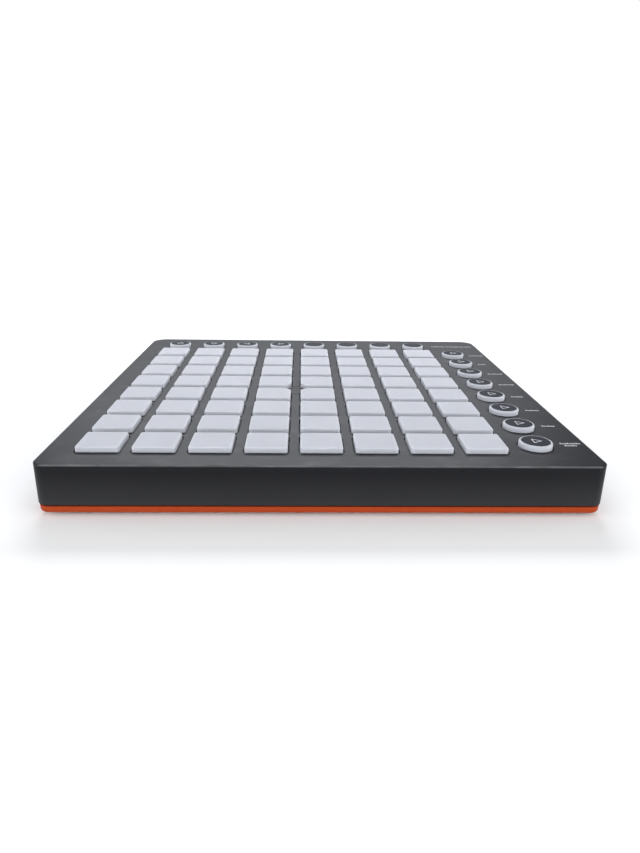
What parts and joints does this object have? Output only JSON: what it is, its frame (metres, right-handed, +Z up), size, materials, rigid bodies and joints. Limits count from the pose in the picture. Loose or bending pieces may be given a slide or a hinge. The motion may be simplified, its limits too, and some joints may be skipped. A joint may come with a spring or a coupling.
{
  "type": "pad grid controller",
  "caption": "Square music controller: a grid of lit silicone pads with round buttons behind and beside it, in a dark shell on an orange tray.",
  "frame": {"origin": "on the table under the middle of the case: the middle of the underside of the bounding box, where the feet stand", "axes": "+Z up through the pads, +Y away from the player towards the back wall with the USB socket, +X to the player's right, where the column of round buttons is"},
  "size_m": [0.24, 0.24, 0.0262],
  "materials": {
    "shell_plastic": "fine moulded texture, satin",
    "tray_plastic": "satin, orange",
    "pad_silicone": "translucent white silicone, matte",
    "button_silicone": "translucent silicone with a dark printed top",
    "badge_plastic": "plain dark inlay",
    "foot_rubber": "matte",
    "board_laminate": "green solder mask",
    "chip_plastic": "black moulding",
    "screw_steel": "zinc plated",
    "socket_steel": "nickel plated",
    "tongue_plastic": "white insulator"
  },
  "bodies": {
    "case": {"top_shell": "shell_plastic", "base_tray": "tray_plastic", "centre_badge": "badge_plastic", "circuit_board": "board_laminate", "usb_socket": "socket_steel", "usb_tongue": "tongue_plastic", "processor_chip": "chip_plastic", "led_driver_left": "chip_plastic", "led_driver_right": "chip_plastic", "rubber_foot_front_left": "foot_rubber", "rubber_foot_front_right": "foot_rubber", "rubber_foot_back_left": "foot_rubber", "rubber_foot_back_right": "foot_rubber", "case_screw_front_left": "screw_steel", "case_screw_front_right": "screw_steel", "case_screw_back_left": "screw_steel", "case_screw_back_right": "screw_steel", "case_screw_front": "screw_steel", "case_screw_back": "screw_steel", "case_screw_left": "screw_steel", "case_screw_right": "screw_steel", "board_screw_front_left": "screw_steel", "board_screw_front_right": "screw_steel", "board_screw_back_left": "screw_steel", "board_screw_back_right": "screw_steel"},
    "pad_block_1_1": {"pad_block_1_1": "pad_silicone"},
    "pad_block_1_2": {"pad_block_1_2": "pad_silicone"},
    "pad_block_1_3": {"pad_block_1_3": "pad_silicone"},
    "pad_block_1_4": {"pad_block_1_4": "pad_silicone"},
    "pad_block_2_1": {"pad_block_2_1": "pad_silicone"},
    "pad_block_2_2": {"pad_block_2_2": "pad_silicone"},
    "pad_block_2_3": {"pad_block_2_3": "pad_silicone"},
    "pad_block_2_4": {"pad_block_2_4": "pad_silicone"},
    "pad_block_3_1": {"pad_block_3_1": "pad_silicone"},
    "pad_block_3_2": {"pad_block_3_2": "pad_silicone"},
    "pad_block_3_3": {"pad_block_3_3": "pad_silicone"},
    "pad_block_3_4": {"pad_block_3_4": "pad_silicone"},
    "pad_block_4_1": {"pad_block_4_1": "pad_silicone"},
    "pad_block_4_2": {"pad_block_4_2": "pad_silicone"},
    "pad_block_4_3": {"pad_block_4_3": "pad_silicone"},
    "pad_block_4_4": {"pad_block_4_4": "pad_silicone"},
    "top_button_1": {"top_button_1": "button_silicone"},
    "top_button_2": {"top_button_2": "button_silicone"},
    "top_button_3": {"top_button_3": "button_silicone"},
    "top_button_4": {"top_button_4": "button_silicone"},
    "top_button_5": {"top_button_5": "button_silicone"},
    "top_button_6": {"top_button_6": "button_silicone"},
    "top_button_7": {"top_button_7": "button_silicone"},
    "top_button_8": {"top_button_8": "button_silicone"},
    "side_button_1": {"side_button_1": "button_silicone"},
    "side_button_2": {"side_button_2": "button_silicone"},
    "side_button_3": {"side_button_3": "button_silicone"},
    "side_button_4": {"side_button_4": "button_silicone"},
    "side_button_5": {"side_button_5": "button_silicone"},
    "side_button_6": {"side_button_6": "button_silicone"},
    "side_button_7": {"side_button_7": "button_silicone"},
    "side_button_8": {"side_button_8": "button_silicone"}
  },
  "joints": [
    {"name": "pad_block_1_1_press", "type": "slide", "parent": "case", "child": "pad_block_1_1", "axis": [0, 0, -1], "range_m": [0, 0.0012], "stiffness_N_per_m": 2000, "springref_m": -0.0003},
    {"name": "pad_block_1_2_press", "type": "slide", "parent": "case", "child": "pad_block_1_2", "axis": [0, 0, -1], "range_m": [0, 0.0012], "stiffness_N_per_m": 2000, "springref_m": -0.0003},
    {"name": "pad_block_1_3_press", "type": "slide", "parent": "case", "child": "pad_block_1_3", "axis": [0, 0, -1], "range_m": [0, 0.0012], "stiffness_N_per_m": 2000, "springref_m": -0.0003},
    {"name": "pad_block_1_4_press", "type": "slide", "parent": "case", "child": "pad_block_1_4", "axis": [0, 0, -1], "range_m": [0, 0.0012], "stiffness_N_per_m": 2000, "springref_m": -0.0003},
    {"name": "pad_block_2_1_press", "type": "slide", "parent": "case", "child": "pad_block_2_1", "axis": [0, 0, -1], "range_m": [0, 0.0012], "stiffness_N_per_m": 2000, "springref_m": -0.0003},
    {"name": "pad_block_2_2_press", "type": "slide", "parent": "case", "child": "pad_block_2_2", "axis": [0, 0, -1], "range_m": [0, 0.0012], "stiffness_N_per_m": 2000, "springref_m": -0.0003},
    {"name": "pad_block_2_3_press", "type": "slide", "parent": "case", "child": "pad_block_2_3", "axis": [0, 0, -1], "range_m": [0, 0.0012], "stiffness_N_per_m": 2000, "springref_m": -0.0003},
    {"name": "pad_block_2_4_press", "type": "slide", "parent": "case", "child": "pad_block_2_4", "axis": [0, 0, -1], "range_m": [0, 0.0012], "stiffness_N_per_m": 2000, "springref_m": -0.0003},
    {"name": "pad_block_3_1_press", "type": "slide", "parent": "case", "child": "pad_block_3_1", "axis": [0, 0, -1], "range_m": [0, 0.0012], "stiffness_N_per_m": 2000, "springref_m": -0.0003},
    {"name": "pad_block_3_2_press", "type": "slide", "parent": "case", "child": "pad_block_3_2", "axis": [0, 0, -1], "range_m": [0, 0.0012], "stiffness_N_per_m": 2000, "springref_m": -0.0003},
    {"name": "pad_block_3_3_press", "type": "slide", "parent": "case", "child": "pad_block_3_3", "axis": [0, 0, -1], "range_m": [0, 0.0012], "stiffness_N_per_m": 2000, "springref_m": -0.0003},
    {"name": "pad_block_3_4_press", "type": "slide", "parent": "case", "child": "pad_block_3_4", "axis": [0, 0, -1], "range_m": [0, 0.0012], "stiffness_N_per_m": 2000, "springref_m": -0.0003},
    {"name": "pad_block_4_1_press", "type": "slide", "parent": "case", "child": "pad_block_4_1", "axis": [0, 0, -1], "range_m": [0, 0.0012], "stiffness_N_per_m": 2000, "springref_m": -0.0003},
    {"name": "pad_block_4_2_press", "type": "slide", "parent": "case", "child": "pad_block_4_2", "axis": [0, 0, -1], "range_m": [0, 0.0012], "stiffness_N_per_m": 2000, "springref_m": -0.0003},
    {"name": "pad_block_4_3_press", "type": "slide", "parent": "case", "child": "pad_block_4_3", "axis": [0, 0, -1], "range_m": [0, 0.0012], "stiffness_N_per_m": 2000, "springref_m": -0.0003},
    {"name": "pad_block_4_4_press", "type": "slide", "parent": "case", "child": "pad_block_4_4", "axis": [0, 0, -1], "range_m": [0, 0.0012], "stiffness_N_per_m": 2000, "springref_m": -0.0003},
    {"name": "top_button_1_press", "type": "slide", "parent": "case", "child": "top_button_1", "axis": [0, 0, -1], "range_m": [0, 0.0012], "stiffness_N_per_m": 600, "springref_m": -0.0003},
    {"name": "top_button_2_press", "type": "slide", "parent": "case", "child": "top_button_2", "axis": [0, 0, -1], "range_m": [0, 0.0012], "stiffness_N_per_m": 600, "springref_m": -0.0003},
    {"name": "top_button_3_press", "type": "slide", "parent": "case", "child": "top_button_3", "axis": [0, 0, -1], "range_m": [0, 0.0012], "stiffness_N_per_m": 600, "springref_m": -0.0003},
    {"name": "top_button_4_press", "type": "slide", "parent": "case", "child": "top_button_4", "axis": [0, 0, -1], "range_m": [0, 0.0012], "stiffness_N_per_m": 600, "springref_m": -0.0003},
    {"name": "top_button_5_press", "type": "slide", "parent": "case", "child": "top_button_5", "axis": [0, 0, -1], "range_m": [0, 0.0012], "stiffness_N_per_m": 600, "springref_m": -0.0003},
    {"name": "top_button_6_press", "type": "slide", "parent": "case", "child": "top_button_6", "axis": [0, 0, -1], "range_m": [0, 0.0012], "stiffness_N_per_m": 600, "springref_m": -0.0003},
    {"name": "top_button_7_press", "type": "slide", "parent": "case", "child": "top_button_7", "axis": [0, 0, -1], "range_m": [0, 0.0012], "stiffness_N_per_m": 600, "springref_m": -0.0003},
    {"name": "top_button_8_press", "type": "slide", "parent": "case", "child": "top_button_8", "axis": [0, 0, -1], "range_m": [0, 0.0012], "stiffness_N_per_m": 600, "springref_m": -0.0003},
    {"name": "side_button_1_press", "type": "slide", "parent": "case", "child": "side_button_1", "axis": [0, 0, -1], "range_m": [0, 0.0012], "stiffness_N_per_m": 600, "springref_m": -0.0003},
    {"name": "side_button_2_press", "type": "slide", "parent": "case", "child": "side_button_2", "axis": [0, 0, -1], "range_m": [0, 0.0012], "stiffness_N_per_m": 600, "springref_m": -0.0003},
    {"name": "side_button_3_press", "type": "slide", "parent": "case", "child": "side_button_3", "axis": [0, 0, -1], "range_m": [0, 0.0012], "stiffness_N_per_m": 600, "springref_m": -0.0003},
    {"name": "side_button_4_press", "type": "slide", "parent": "case", "child": "side_button_4", "axis": [0, 0, -1], "range_m": [0, 0.0012], "stiffness_N_per_m": 600, "springref_m": -0.0003},
    {"name": "side_button_5_press", "type": "slide", "parent": "case", "child": "side_button_5", "axis": [0, 0, -1], "range_m": [0, 0.0012], "stiffness_N_per_m": 600, "springref_m": -0.0003},
    {"name": "side_button_6_press", "type": "slide", "parent": "case", "child": "side_button_6", "axis": [0, 0, -1], "range_m": [0, 0.0012], "stiffness_N_per_m": 600, "springref_m": -0.0003},
    {"name": "side_button_7_press", "type": "slide", "parent": "case", "child": "side_button_7", "axis": [0, 0, -1], "range_m": [0, 0.0012], "stiffness_N_per_m": 600, "springref_m": -0.0003},
    {"name": "side_button_8_press", "type": "slide", "parent": "case", "child": "side_button_8", "axis": [0, 0, -1], "range_m": [0, 0.0012], "stiffness_N_per_m": 600, "springref_m": -0.0003}
  ]
}
